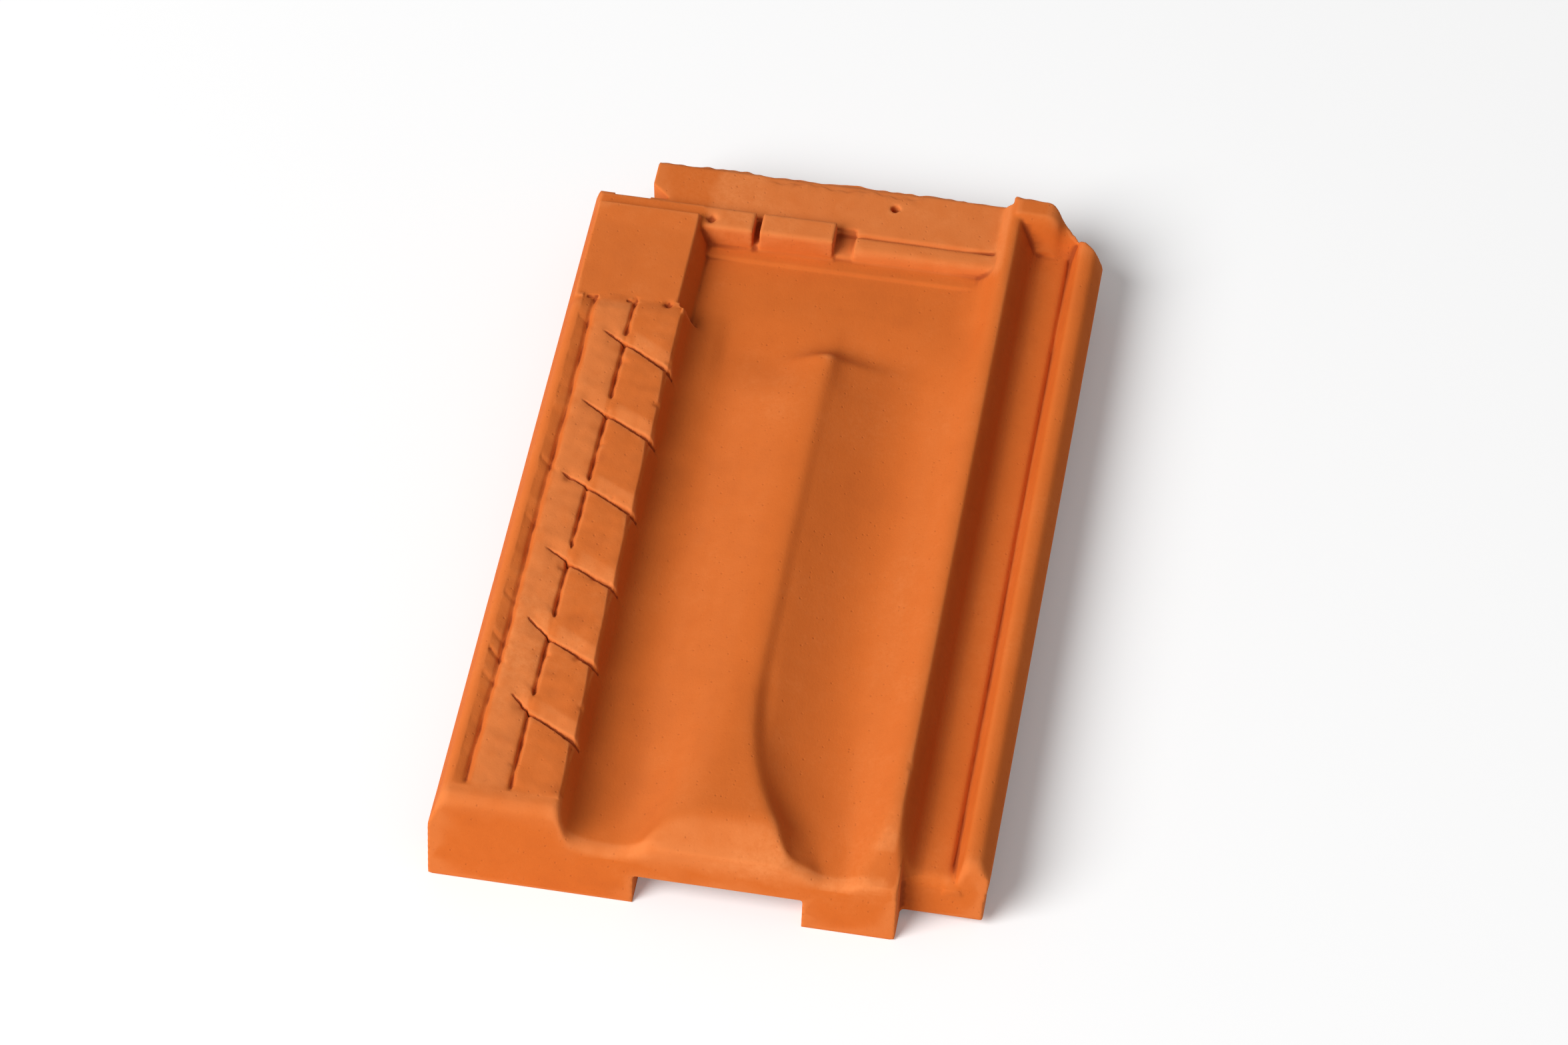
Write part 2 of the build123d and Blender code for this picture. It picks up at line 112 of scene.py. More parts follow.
class ClayColours(bpy.types.PropertyGroup):
    """Colours of the fired clay."""

    body: bpy.props.FloatVectorProperty(
        name="Body", description="Colour of most of the clay", subtype="COLOR",
        default=(0.655, 0.139, 0.0185), min=0, max=1)
    # Pale is also used for painted highlights: on arrises, light-facing slopes, the head and the plates'
    # lips.
    pale: bpy.props.FloatVectorProperty(
        name="Pale", description="Rubbed arrises and dusty patches", subtype="COLOR",
        default=(0.800, 0.240, 0.066), min=0, max=1)
    # Deep is also used for painted shade in hollows and a painted shadow along the lock's wall.
    deep: bpy.props.FloatVectorProperty(
        name="Deep", description="Hollows, pits and smudges", subtype="COLOR",
        default=(0.310, 0.050, 0.010), min=0, max=1)
    roughness: bpy.props.FloatProperty(
        name="Roughness", description="Roughness of the dry fired surface", subtype="FACTOR",
        default=0.82, min=0, max=1)


class StageSettings(bpy.types.PropertyGroup):
    """Light, floor and camera."""

    azimuth: bpy.props.FloatProperty(
        name="Azimuth", description="Turn of the camera towards the side lock", subtype="ANGLE",
        default=math.radians(10))
    elevation: bpy.props.FloatProperty(
        name="Elevation", description="Height of the camera over the floor", subtype="ANGLE",
        default=math.radians(51))
    distance: bpy.props.FloatProperty(
        name="Distance", description="From the camera to the middle of the tile", default=2.39, unit="LENGTH")
    lens: bpy.props.FloatProperty(
        name="Lens", description="Focal length of the camera in millimetres", default=118)
    key: bpy.props.FloatProperty(
        name="Key light", description="Power of the large lamp at the front left", default=740, unit="POWER")
    lamp_size: bpy.props.FloatProperty(
        name="Lamp size", description="Width of the round lamp", default=6.0, unit="LENGTH")
    lamp_distance: bpy.props.FloatProperty(
        name="Lamp distance", description="From the lamp to the middle of the tile",
        default=8.0, unit="LENGTH")
    fill: bpy.props.FloatProperty(
        name="Fill", description="Strength of the even light from all round", subtype="FACTOR", default=0.24)
    floor: bpy.props.FloatVectorProperty(
        name="Floor", description="Colour of the floor", subtype="COLOR",
        default=(0.93, 0.93, 0.93), min=0, max=1)
    floor_lift: bpy.props.FloatProperty(
        name="Floor lift", description="How much whiter the camera sees the floor", subtype="FACTOR",
        default=0.14)


def settings():
    """The three groups of values, from the scene."""
    scene = bpy.context.scene
    return scene.tile_sizes, scene.clay_colours, scene.stage_settings


def only(piece):
    """Leaves object mode with just this piece selected and active."""
    if bpy.context.object and bpy.context.object.mode != "OBJECT":
        bpy.ops.object.mode_set(mode="OBJECT")
    bpy.ops.object.select_all(action="DESELECT")
    piece.select_set(True)
    bpy.context.view_layer.objects.active = piece


def apply_modifier(piece, kind, **values):
    """Adds one modifier with these values and applies it."""
    only(piece)
    modifier = piece.modifiers.new(kind.lower(), kind)
    for key, value in values.items():
        setattr(modifier, key, value)
    bpy.ops.object.modifier_apply(modifier=modifier.name)


def places(piece):
    """The piece's points in millimetres, one row each."""
    flat = np.empty(len(piece.data.vertices) * 3, np.float32)
    piece.data.vertices.foreach_get("co", flat)
    return flat.reshape(-1, 3).astype(float) / MM


def put(piece, points):
    """Moves the piece's points to these places in millimetres."""
    piece.data.vertices.foreach_set("co", (points * MM).astype(np.float32).ravel())
    piece.data.update()


def ramp(value, start, end):
    """0 before start, 1 after end, with a smooth change between."""
    share = np.clip((value - start) / (end - start), 0, 1)
    return share * share * (3 - 2 * share)


def window(value, start, end, soft):
    """1 between start and end, falling to 0 over soft outside them."""
    return ramp(value, start - soft, start) * (1 - ramp(value, end, end + soft))


def weight_group(piece, name, weights):
    """A vertex group from an array of weights, in eight steps."""
    group = piece.vertex_groups.new(name=name)
    steps = np.rint(weights * 8).astype(int)
    for step in range(1, 9):
        chosen = np.flatnonzero(steps == step)
        if len(chosen):
            group.add(chosen.tolist(), step / 8, "REPLACE")
    return group


def lumps(points, size, seed):
    """Smooth unevenness from -1 to 1 at about this size in millimetres: sums of slanted waves."""
    chance = np.random.default_rng(seed)
    total = np.zeros(len(points))
    for _ in range(14):
        way = chance.normal(size=3)
        way /= np.linalg.norm(way)
        length = size * chance.uniform(0.7, 1.6)
        total += np.sin(points @ way * (2 * math.pi / length) + chance.uniform(0, 2 * math.pi))
    return total / 14 * 1.9


# Relief of the cover band, in millimetres of the tile's own frame
BAND_TOP = 46.0
BAND_FLOOR = 41.0
PAD_DROP = 2.0
BEAD_GROOVE_X = -109.5
PLATE_GROOVE_X = -90.2
BAND_RIGHT_X = -66.5
RELIEF_NOSE_Y = -188.0
RELIEF_HEAD_Y = 104.0
# Each slanted crack: its place at the band's right edge and at the groove between the plates, its slope
# and offset beyond that groove, where it runs out beside the bead, and how far the groove is closed above it
CRACKS = (
    (64.0, 77.0, 0.50, 0.0, -102.5, 5.0),
    (20.5, 32.0, 0.53, 0.0, -104.0, 9.5),
    (-24.3, -12.8, 0.46, 0.6, -104.5, 4.0),
    (-68.5, -58.0, 0.50, 1.3, -102.5, 8.5),
    (-113.5, -102.0, 0.80, 0.7, -102.5, 12.0),
    (-157.0, -145.0, 0.80, 1.0, -101.0, 9.5),
)
# Faint marks across the bead: place along the tile and depth
BEAD_MARKS = ((86.0, 0.2), (-3.0, 0.4), (-38.0, 0.25), (-84.0, 0.3),
              (-108.0, 0.35), (-117.0, 0.65), (-131.0, 0.3))


def crack_distance(crack, x, y):
    """How far towards the nose a place lies from a crack: below 0 on the head side."""
    right_y, groove_y, slope, offset = crack[:4]
    run = np.clip((BAND_RIGHT_X - x) / (BAND_RIGHT_X - PLATE_GROOVE_X), None, 1)
    beyond = np.clip(PLATE_GROOVE_X - x, 0, None)
    line = right_y + (groove_y - right_y) * run + slope * beyond + offset * ramp(beyond, 0, 1.2)
    line = line + 0.14 * np.sin(x * 0.45 + right_y) + 0.07 * np.sin(x * 1.7 + right_y * 2)
    return line - y


def pad_step(y):
    """How far the band's top has stepped down to the pad at its head."""
    return PAD_DROP * ramp(y, RELIEF_HEAD_Y - 8.0, RELIEF_HEAD_Y + 3.0)


def band_height(x, y, sizes):
    """Height of the band's top in millimetres, with its grooves, cracks and pillowed plates."""
    groove = sizes.groove_depth / MM
    crack_depth = sizes.crack_depth / MM
    half = sizes.crack_width / MM
    dip = sizes.plate_dip / MM
    lip = sizes.plate_lip / MM
    within = ramp(y, RELIEF_NOSE_Y - 2.0, RELIEF_NOSE_Y + 3.0)
    within *= 1 - ramp(y, RELIEF_HEAD_Y - 1.0, RELIEF_HEAD_Y + 1.0)
    height = BAND_TOP - pad_step(y)
    plates = ramp(x, BEAD_GROOVE_X + 1.0, BEAD_GROOVE_X + 6.0)
    right_half = ramp(x, PLATE_GROOVE_X, BAND_RIGHT_X - 4.0)
    dash = np.ones(len(x))
    for crack in CRACKS:
        gap = crack_distance(crack, x, y)
        reach = ramp(x, crack[4], crack[4] + 6.0)
        below = np.where(gap > 0, np.exp(-np.clip(gap, 0, None) / 6.0), 0)
        above = np.where(gap <= 0, np.exp(-(gap / (4.0 + 2.5 * right_half)) ** 2), 0)
        height -= plates * reach * (dip * below + lip * (0.7 + 0.3 * right_half) * above)
        width = half * (0.8 + 0.5 * right_half)
        strength = 0.62 + 0.38 * right_half + 0.16 * np.sin(x * 0.6 + crack[0])
        height -= crack_depth * reach * strength * np.exp(-(gap / width) ** 2)
        dash *= 1 - 0.9 * ramp(gap, -crack[5] - 3.0, -crack[5] + 1.0) * (1 - ramp(gap, -1.0, 0.8))
    wander = 0.35 * np.sin(y * 0.045) + 0.15 * np.sin(y * 0.19 + 1.0)
    bead_off = x - BEAD_GROOVE_X - wander
    bead_cut = 0.75 * np.exp(-(bead_off / 1.35) ** 2) + 0.5 * np.exp(-((bead_off + 1.4) / 3.2) ** 2)
    bead_cut *= 0.9 + 0.16 * np.sin(y * 0.11 + 0.6) + 0.1 * np.sin(y * 0.31)
    plate_off = x - PLATE_GROOVE_X - 0.6 * wander - 0.02 * np.clip(-140.0 - y, 0, None)
    plate_cut = 0.85 * np.exp(-(plate_off / 1.05) ** 2) + 0.25 * np.exp(-((plate_off + 0.8) / 3.2) ** 2)
    plate_cut *= dash * (0.92 + 0.22 * np.sin(y * 0.23 + 2.0) + 0.14 * np.sin(y * 0.61))
    height -= groove * (bead_cut + plate_cut) * within
    for groove_x in (BEAD_GROOVE_X, PLATE_GROOVE_X):
        hook_y = RELIEF_HEAD_Y + 0.8 + 0.12 * (x - groove_x)
        hook = window(x, groove_x - 3.5, groove_x + 0.5, 1.2)
        height -= 1.0 * hook * np.exp(-((y - hook_y) / 0.9) ** 2)
    for mark_y, mark_depth in BEAD_MARKS:
        mark = np.exp(-((y - mark_y - 0.8 * (BEAD_GROOVE_X - x)) / 1.7) ** 2)
        height -= mark_depth * mark * (1 - ramp(x, BEAD_GROOVE_X + 1.0, BEAD_GROOVE_X + 5.0))
    crown = 0.45 * np.exp(-((x - BAND_RIGHT_X) / 3.0) ** 2)
    return height - crown * within


def edge_offset(x, y, z):
    """How far the band's right edge moves sideways: it steps in under each crack and swings out again."""
    offset = np.zeros(len(x))
    for crack in CRACKS:
        gap = crack_distance(crack, x, y)
        offset -= 1.2 * ramp(gap, -0.9, 0.9) * np.exp(-np.clip(gap, 0, None) / 16.0)
        offset += 0.3 * np.where(gap < 0, np.exp(-(gap / 6.0) ** 2), 0) * (1 - ramp(gap, -0.9, 0.9))
    return offset * window(x, -68.5, -61.0, 7.0) * ramp(z, 36.0, 45.0)


# Pan, nose and head, in millimetres of the tile's own frame
NOSE_Y = -207.5
APRON_Z = 29.5
GUTTER_SINK = 3.0
GUTTER_START_Y = 127.5
GUTTER_FADE = 38.0
# The worn slopes at the nose: height where each starts and fall per millimetre; the right channel parts them
PLATEAU_Z, PLATEAU_FALL = 42.3, 0.52
RIM_Z, RIM_FALL = 40.8, 0.38
RIM_SLOPE_Y = -170.0
CHANNEL_X = 56.0
# The ridge's right edge from the nose to the head, as places along and across the tile
RIDGE_EDGE = ((-195.0, 30.0), (-183.0, 25.0), (-170.0, 20.0), (-155.0, 15.0),
              (-140.0, 11.0), (-90.0, 7.0), (85.0, 5.0))
# The right gutter's floor: rise at the ridge's foot, and how far from the edge the rise starts and ends
GUTTER_RISE = 2.6
GUTTER_FOOT, GUTTER_END = 6.0, 36.0
# Small pits, as middle, radius and depth
PITS = (((-65.0, 166.0), 2.3, 2.8), ((-74.5, 105.2), 1.9, 2.6), ((-101.0, 190.5), 1.5, 1.2))


def soft_least(first, second, blend):
    """The lower of two heights, rounded over where they meet."""
    share = np.clip(0.5 + 0.5 * (second - first) / blend, 0, 1)
    return second + (first - second) * share - blend * share * (1 - share)


def ridge_fade(x, y, z):
    """How far the ridge's left flank comes down at the head, where it fades out later than its edge does."""
    floor = APRON_Z - GUTTER_SINK * ramp(GUTTER_START_Y - y, 0, GUTTER_FADE)
    rise = np.clip(z - floor, 0, None)
    flank = ramp(x, -52.0, -44.0) * (1 - ramp(x, -30.0, 8.0)) * (z < 41.5)
    return -rise * flank * (1 - ramp(-y, -99.0, -64.0)) * (1 - ramp(y, 112.0, 124.0))


def from_ridge(x, y):
    """How far a place lies to the right of the ridge's edge, which swings out at the nose."""
    along, across = zip(*RIDGE_EDGE)
    return x - np.interp(y, along, across)


def gutter_round(x, y, z):
    """How far the right gutter's floor rises towards the ridge, so that it is hollow rather than flat."""
    away = from_ridge(x, y)
    to_end = GUTTER_END - np.clip(away, GUTTER_FOOT, GUTTER_END)
    lift = GUTTER_RISE * (to_end / (GUTTER_END - GUTTER_FOOT)) ** 2
    foot = 1 - ramp(z, 28.0, 41.0)
    return lift * foot * ramp(away, -1.0, 8.0) * window(y, -150.0, 66.0, 26.0) * (z > 24.5)


def nose_slope(x, y, start):
    """Height of the worn slopes that the plateau's and the rim's front ends are cut down to."""
    plateau = PLATEAU_Z - PLATEAU_FALL * (start - y)
    rim = RIM_Z - RIM_FALL * (RIM_SLOPE_Y - y)
    return np.where(x < CHANNEL_X, plateau, rim)


def nose_bevel(x, y, z, start):
    """How far the plateau and the rim come down to their worn slopes at the nose."""
    lowered = soft_least(z, nose_slope(x, y, start), np.where(x < CHANNEL_X, 3.0, 5.0)) - z
    ahead = np.where(x < CHANNEL_X, start, RIM_SLOPE_Y)
    return np.minimum(lowered, 0) * (1 - ramp(y, ahead + 2.0, ahead + 9.0)) * (x > -58.0) * (x < 92.5)


class ROOFTILE_OT_press_blank(bpy.types.Operator):
    """Copies the solid, joins its faces and presses it into an even mesh with soft arrises"""

    bl_idname = "rooftile.press_blank"
    bl_label = "Press blank"

    def execute(self, context):
        sizes, _, _ = settings()
        piece = bpy.data.objects.new(PIECE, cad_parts[NODE].data.copy())
        context.scene.collection.objects.link(piece)
        piece.data.materials.clear()
        only(piece)
        bpy.ops.object.mode_set(mode="EDIT")
        bpy.ops.mesh.select_all(action="SELECT")
        bpy.ops.mesh.remove_doubles(threshold=0.000002)
        bpy.ops.object.mode_set(mode="OBJECT")
        apply_modifier(piece, "REMESH", mode="VOXEL", voxel_size=sizes.grain, adaptivity=0)
        points = places(piece)
        x, y, z = points.T
        band = (z > BAND_FLOOR) * window(x, -115.0, -69.0, 1.0) * window(y, -189.0, RELIEF_HEAD_Y - 2.0, 1.5)
        points[:, 2] = np.where(band > 0.5, BAND_TOP, z)
        step = PAD_DROP * (y > RELIEF_HEAD_Y) - pad_step(y)
        points[:, 2] += step * ramp(z, 36.0, 43.0) * (1 - ramp(x, -71.0, -68.0))
        pan = window(x, -60.0, 78.0, 4.0) * window(y, -192.0, 146.0, 4.0) * (z > 26.0)
        pad_start = (x < -68.0) * window(y, RELIEF_HEAD_Y - 8.0, RELIEF_HEAD_Y + 4.0, 3.0)
        pad_start *= ramp(z, 34.0, 38.0)
        band = np.maximum(band, pad_start)
        put(piece, points)
        weight_group(piece, "band", band)
        weight_group(piece, "pan", pan)
        apply_modifier(piece, "SMOOTH", factor=0.5, iterations=sizes.arris_passes)
        apply_modifier(piece, "SMOOTH", factor=0.5, iterations=14, vertex_group="band")
        apply_modifier(piece, "SMOOTH", factor=0.5, iterations=sizes.pan_passes, vertex_group="pan")
        return {"FINISHED"}


class ROOFTILE_OT_shape_pan(bpy.types.Operator):
    """Fades the ridge, rounds the right gutter, slopes the nose's ends and closes the lock's groove there"""

    bl_idname = "rooftile.shape_pan"
    bl_label = "Shape pan"

    def execute(self, context):
        sizes, _, _ = settings()
        piece = bpy.data.objects[PIECE]
        points = places(piece)
        x, y, z = points.T.copy()
        points[:, 2] += ridge_fade(x, y, z) + gutter_round(x, y, z)
        points[:, 0] -= 5.0 * window(x, 24.0, 40.0, 12.0) * ramp(-y, 178.0, 196.0) * ramp(z, 27.0, 34.0)
        points[:, 2] += nose_bevel(points[:, 0], y, z, NOSE_Y + sizes.bevel / MM)
        beside = (x > 99.0) & (x < 103.5) & (y < -176.0) & (z > 16.0)
        steps = np.arange(-206.0, -176.0, 0.8)
        tops = [z[beside & (abs(y - step) < 1.0)].max(initial=16.0) for step in steps]
        groove = window(x, 105.0, 112.0, 1.0) * (1 - ramp(y, -187.0, -179.0)) * (z > 16.0)
        points[:, 2] += np.clip(np.interp(y, steps, tops) - z, 0, 5.0) * groove
        put(piece, points)
        nose = window(x, -58.0, 92.0, 3.0) * (1 - ramp(y, -168.0, -160.0)) * (z > 22.0)
        lock_end = window(x, 103.0, 114.0, 1.0) * (1 - ramp(y, -182.0, -176.0)) * (z > 18.0)
        ridge_head = window(x, -46.0, 14.0, 8.0) * window(y, 66.0, 118.0, 8.0) * (z > 26.0)
        weight_group(piece, "nose", np.maximum(np.maximum(nose, lock_end), ridge_head))
        apply_modifier(piece, "SMOOTH", factor=0.5, iterations=16, vertex_group="nose")
        foot = window(from_ridge(x, y), 3.0, 16.0, 4.0) * window(y, -160.0, 74.0, 14.0) * (z > 24.5)
        weight_group(piece, "foot", foot)
        apply_modifier(piece, "SMOOTH", factor=0.5, iterations=45, vertex_group="foot")
        return {"FINISHED"}


class ROOFTILE_OT_carve_band(bpy.types.Operator):
    """Carves the cover band: two grooves, slanted cracks and the pillowed shingle plates between them"""

    bl_idname = "rooftile.carve_band"
    bl_label = "Carve band"

    def execute(self, context):
        sizes, _, _ = settings()
        piece = bpy.data.objects[PIECE]
        only(piece)
        count = len(piece.data.polygons)
        centres = np.empty(count * 3, np.float32)
        piece.data.polygons.foreach_get("center", centres)
        x, y, z = centres.reshape(-1, 3).T / MM
        chosen = (z > BAND_FLOOR) & (x > -117.5) & (x < -65.0) & (y > -192.0) & (y < RELIEF_HEAD_Y + 4.0)
        bpy.ops.object.mode_set(mode="EDIT")
        bpy.ops.mesh.select_mode(type="FACE")
        bpy.ops.mesh.select_all(action="DESELECT")
        bpy.ops.object.mode_set(mode="OBJECT")
        piece.data.polygons.foreach_set("select", chosen)
        bpy.ops.object.mode_set(mode="EDIT")
        bpy.ops.mesh.subdivide(number_cuts=2)
        bpy.ops.object.mode_set(mode="OBJECT")
        points = places(piece)
        x, y, z = points.T
        share = (z > BAND_FLOOR) * window(x, -114.5, -68.0, 1.5) * window(y, -189.0, RELIEF_HEAD_Y + 3.0, 1.0)
        height = band_height(x, y, sizes)
        height += 0.26 * lumps(points, 11.0, 3) + 0.075 * lumps(points, 4.5, 4)
        points[:, 2] += (height - z) * share
        carved = np.minimum(height - BAND_TOP + pad_step(y), 0)
        edge = (x > -70.0) * (1 - share) * (1 - ramp(x, -65.0, -61.0)) * ramp(z, 33.0, 43.0)
        points[:, 2] += carved * edge * window(y, -186.0, RELIEF_HEAD_Y - 4.0, 2.0)
        points[:, 0] += edge_offset(x, y, z) * window(y, -186.0, RELIEF_HEAD_Y - 3.0, 3.0)
        put(piece, points)
        weight_group(piece, "carved", share)
        apply_modifier(piece, "SMOOTH", factor=0.5, iterations=2, vertex_group="carved")
        wall = window(x, -68.0, -58.0, 1.5) * window(y, -192.0, RELIEF_HEAD_Y + 6.0, 4.0)
        wall *= ramp(z, 28.0, 32.0)
        weight_group(piece, "wall", wall)
        apply_modifier(piece, "SMOOTH", factor=0.5, iterations=8, vertex_group="wall")
        return {"FINISHED"}


class ROOFTILE_OT_wear_tile(bpy.types.Operator):
    """Lifts the pad's end, sinks the pits, breaks the back edge and nicks the arrises"""

    bl_idname = "rooftile.wear_tile"
    bl_label = "Wear tile"

    def execute(self, context):
        sizes, _, _ = settings()
        piece = bpy.data.objects[PIECE]
        points = places(piece)
        x, y, z = points.T.copy()
        points[:, 2] += 0.9 * ramp(y, 151.0, 164.5) * (y < 165.9) * (x < -69.0) * ramp(z, 41.9, 43.6)
        for (pit_x, pit_y), radius, depth in PITS:
            points[:, 2] -= depth * np.exp(-((x - pit_x) ** 2 + (y - pit_y) ** 2) / radius ** 2) * (z > 33.0)
        back = ramp(y, 203.0, 207.4) * (z > 22.0) * (x > -98.5)
        points[:, 1] -= back * (1.3 + 1.1 * lumps(points, 16.0, 21) + 0.6 * lumps(points, 6.0, 22))
        burr = 199.6 + 0.9 * np.sin(x * 0.21) + 0.5 * np.sin(x * 0.77 + 1.0)
        points[:, 2] -= 0.55 * ramp(y, burr, burr + 1.2) * window(x, -38.0, 30.0, 9.0) * (z > 33.0)
        scuff = window(x, 71.0, 79.0, 3.0) * window(y, -181.0, -168.0, 4.0) * (z > 30.0)
        points[:, 2] += 0.16 * scuff * lumps(points, 3.0, 23)
        put(piece, points)
        normals, out = standing_out(piece, 4)
        chance = np.random.default_rng(31)
        pan = (x > -58.0) & (x < 76.0) & (y > -180.0) & (y < 148.0)
        edges = np.flatnonzero((out > 0.16) & (z > 24.0) & ~pan)
        for middle in chance.choice(edges, sizes.nicks, replace=False):
            radius = chance.uniform(0.9, 2.1)
            away = points - points[middle]
            dent = np.exp(-np.einsum("ij,ij->i", away, away) / radius ** 2)
            points -= normals[middle] * (dent * radius * chance.uniform(0.25, 0.45))[:, None]
        put(piece, points)
        return {"FINISHED"}


class ROOFTILE_OT_fire_tile(bpy.types.Operator):
    """Warps the tile a little, thins its mesh, and gives it the fired clay"""

    bl_idname = "rooftile.fire_tile"
    bl_label = "Fire tile"

    def execute(self, context):
        sizes, _, _ = settings()
        piece = bpy.data.objects[PIECE]
        points = places(piece)
        warp = sizes.warp / MM
        rise = warp * (0.45 * lumps(points, 120.0, 11) + 0.10 * lumps(points, 42.0, 12))
        rise += 0.07 * lumps(points, 14.0, 13)
        held = ramp(points[:, 2], 0.5, 12.0)
        points[:, 2] += rise * held
        put(piece, points)
        faces = sum(len(face.vertices) - 2 for face in piece.data.polygons)
        apply_modifier(piece, "DECIMATE", decimate_type="COLLAPSE",
                       ratio=min(1.0, sizes.triangles / faces), use_collapse_triangulate=True)
        only(piece)
        bpy.ops.object.shade_smooth()
        piece.vertex_groups.clear()
        mark_clay(piece)
        piece.data.materials.append(fired_clay())
        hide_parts(NODE)
        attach(piece, "root")
        return {"FINISHED"}


def standing_out(piece, passes):
    """Each point's normal, and how far it stands out: above 0 on arrises, below in hollows."""
    mesh = piece.data
    count = len(mesh.vertices)
    points = places(piece)
    normals = np.empty(count * 3, np.float32)
    mesh.vertex_normals.foreach_get("vector", normals)
    normals = normals.reshape(-1, 3).astype(float)
    ends = np.empty(len(mesh.edges) * 2, np.int32)
    mesh.edges.foreach_get("vertices", ends)
    first, second = ends.reshape(-1, 2).T
    gap = points[second] - points[first]
    length = np.einsum("ij,ij->i", gap, gap) + 0.02
    out_first = -2 * np.einsum("ij,ij->i", gap, normals[first]) / length
    out_second = 2 * np.einsum("ij,ij->i", gap, normals[second]) / length
    total = np.bincount(first, out_first, count) + np.bincount(second, out_second, count)
    share = np.bincount(first, minlength=count) + np.bincount(second, minlength=count)
    out = np.clip(total / np.maximum(share, 1), -1.2, 1.2)
    for _ in range(passes):
        spread = np.bincount(first, out[second], count) + np.bincount(second, out[first], count)
        out = 0.5 * out + 0.5 * spread / np.maximum(share, 1)
    return normals, out


def wear_and_highlight_places(points, bevel):
    """Where the clay is paler: rubbed wear at the nose and its bevel, painted highlights on the pan's
    light-facing slopes, the head, the plates' lips and the rim's front slope, and a paler band top and middle
    strip.
    """
    x, y, z = points.T
    worn = 0.6 * window(y, -197.5, -190.5, 2.5) * (1 - ramp(x, -70.0, -64.0)) * (z > 38.0)
    start = NOSE_Y + bevel
    slope = np.exp(-((z - nose_slope(x, y, start)) / 0.9) ** 2) * (z > 29.0)
    worn += 0.85 * slope * window(x, -36.0, 34.0, 8.0) * (1 - ramp(y, start - 4.0, start + 4.0))
    # The nose's front arris: partly rubbed wear, partly a painted highlight.
    worn += 0.9 * window(y, -201.0, -197.5, 2.0) * window(x, -60.0, 78.0, 5.0) * (z > 23.0)
    # Painted highlight on the ridge's left flank and the rim's slope, which face the lamp.
    pan = window(y, -170.0, 60.0, 40.0) * (z > 27.0)
    worn += pan * (0.26 * window(x, -34.0, -14.0, 14.0) + 0.20 * window(x, 60.0, 74.0, 12.0))
    # Painted light: the head is made paler.
    worn += 0.95 * ramp(y, 156.0, 162.0) * window(x, -66.0, 76.0, 3.0) * (z > 31.0)
    # The middle strip between the band's grooves is paler.
    worn += 0.95 * window(x, -106.0, -93.0, 2.0) * window(y, -186.0, 100.0, 5.0) * (z > 42.0)
    # Painted highlight on each plate's lip above its crack.
    for crack in CRACKS:
        gap = crack_distance(crack, x, y)
        worn += 0.75 * window(gap, -8.0, -1.2, 2.5) * window(x, -84.0, -69.0, 4.0) * (z > 42.0)
        worn += 0.45 * window(gap, -7.0, -1.2, 2.5) * window(x, -99.0, -93.0, 3.0) * (z > 42.0)
    worn += 0.25 * window(x, -122.0, -69.0, 2.0) * window(y, -188.0, 165.0, 5.0) * (z > 42.0)
    # Painted highlight on the rim's sloped front end.
    arris = np.exp(-((z - nose_slope(x, y, 0)) / 1.6) ** 2) * window(y, -183.0, -166.0, 3.0)
    worn += 1.0 * arris * window(x, 68.0, 81.0, 2.0)
    return np.clip(worn * (0.9 + 0.35 * lumps(points, 9.0, 43)), 0, 1)


def smudge_and_shade_places(points):
    """Where the clay is darker: blotches on the plates, a spot at the pad's start, the pits, the broken edge,
    and a painted shadow on the lock's wall and the floor beside it.
    """
    x, y, z = points.T
    plates = window(x, -108.0, -68.0, 2.0) * window(y, -186.0, 104.0, 4.0) * (z > 40.0)
    blotches = 1.5 * lumps(points, 17.0, 41) * (0.6 + 0.4 * lumps(points, 7.0, 42)) - 0.15
    smudge_and_shade = plates * np.clip(blotches, 0, 1)
    smudge_and_shade += 0.5 * window(x, -34.0, 22.0, 8.0) * window(y, 199.5, 202.0, 1.5) * (z > 32.0)
    smudge_and_shade += 0.4 * window(x, -101.0, -95.0, 3.0) * window(y, 104.5, 106.5, 2.0) * (z > 40.0)
    # Painted shadow: the lock's wall and the channel floor beside it are darkened where the rim's shadow
    # falls.
    lock_wall_shadow = 0.7 * window(x, 83.0, 93.0, 5.0) * window(y, -196.0, 180.0, 6.0) * (z > 24.0)
    smudge_and_shade += lock_wall_shadow * (1 - ramp(z, 36.0, 40.0))
    for (pit_x, pit_y), radius, _ in PITS:
        smudge_and_shade += np.exp(-((x - pit_x) ** 2 + (y - pit_y) ** 2) / (1.3 * radius) ** 2) * (z > 33.0)
    return np.clip(smudge_and_shade, 0, 1)


def mark_clay(piece):
    """Writes the arrises, the upward faces, the paler places (wear and painted highlights) and the darker
    places (smudges and a painted shadow) as values for the material.
    """
    normals, out = standing_out(piece, 8)
    points = places(piece)
    marks = {
        "arris": np.clip(out, -0.6, 0.6),
        "skyward": np.clip(normals[:, 2], 0, 1),
        # Rubbed wear at the nose and painted highlights elsewhere
        "worn": wear_and_highlight_places(points, settings()[0].bevel / MM),
        # Darker blotches and spots, and a painted shadow along the lock's wall
        "smudge_and_shade": smudge_and_shade_places(points),
    }
    for name, values in marks.items():
        mark = piece.data.attributes.new(name, "FLOAT", "POINT")
        mark.data.foreach_set("value", values.astype(np.float32))


